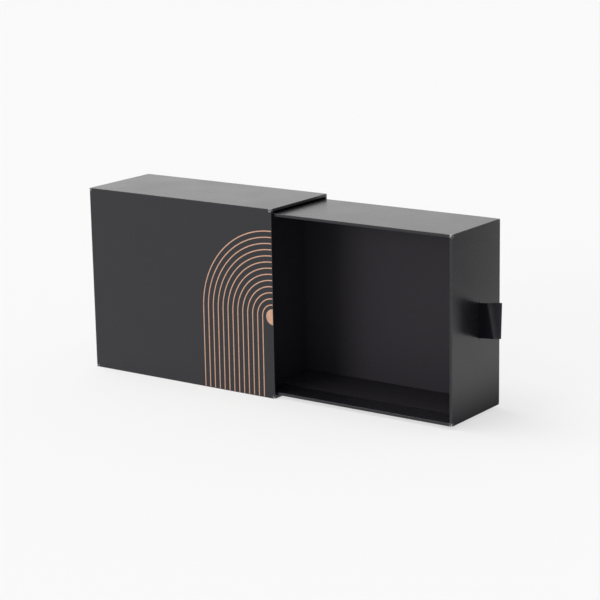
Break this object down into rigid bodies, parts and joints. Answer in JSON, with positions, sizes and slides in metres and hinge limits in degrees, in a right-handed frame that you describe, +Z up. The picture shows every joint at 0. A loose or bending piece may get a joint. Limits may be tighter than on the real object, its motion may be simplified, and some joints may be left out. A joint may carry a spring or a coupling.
{
  "type": "sliding drawer gift box",
  "caption": "Rigid paper-covered gift box: a tray with a ribbon pull that slides sideways out of a sleeve with foil arches on its broad face.",
  "frame": {"origin": "centre of the sleeve's underside, the long narrow side that the box stands on", "axes": "+X the way the tray slides out, +Z up; the tray's open side and the decorated broad face look along -Y"},
  "size_m": [0.3362, 0.07, 0.14],
  "materials": {
    "greyboard": "matte",
    "tape": "matte",
    "black_paper": "satin",
    "lining_paper": "satin",
    "foil": "satin",
    "ribbon": "satin",
    "patch_card": "matte"
  },
  "bodies": {
    "sleeve": {"sleeve_front_board": "greyboard", "sleeve_rear_board": "greyboard", "sleeve_top_board": "greyboard", "sleeve_base_board": "greyboard", "sleeve_end_board": "greyboard", "sleeve_corner_tapes": "tape", "sleeve_wrap": "black_paper", "sleeve_base_paper": "black_paper", "sleeve_end_sheet": "black_paper", "sleeve_lining": "lining_paper", "sleeve_end_lining": "lining_paper", "foil_arches": "foil", "foil_disc": "foil"},
    "tray": {"tray_floor_board": "greyboard", "tray_top_board": "greyboard", "tray_base_board": "greyboard", "tray_back_board": "greyboard", "tray_pull_board": "greyboard", "tray_corner_tapes": "tape", "tray_wrap": "black_paper", "tray_wall_lining": "lining_paper", "tray_floor_lining": "lining_paper", "ribbon_tail_front": "ribbon", "ribbon_tail_rear": "ribbon", "ribbon_patch": "patch_card"},
    "pull": {"ribbon_loop": "ribbon"}
  },
  "joints": [
    {"name": "drawer_slide", "type": "slide", "parent": "sleeve", "child": "tray", "axis": [1, 0, 0], "range_m": [-0.148, 0.022]},
    {"name": "pull_flex", "type": "hinge", "parent": "tray", "child": "pull", "pos_m": [0.23345, 0.0038, 0.0698], "axis": [0, 0, 1], "range_deg": [-65, 65]}
  ]
}
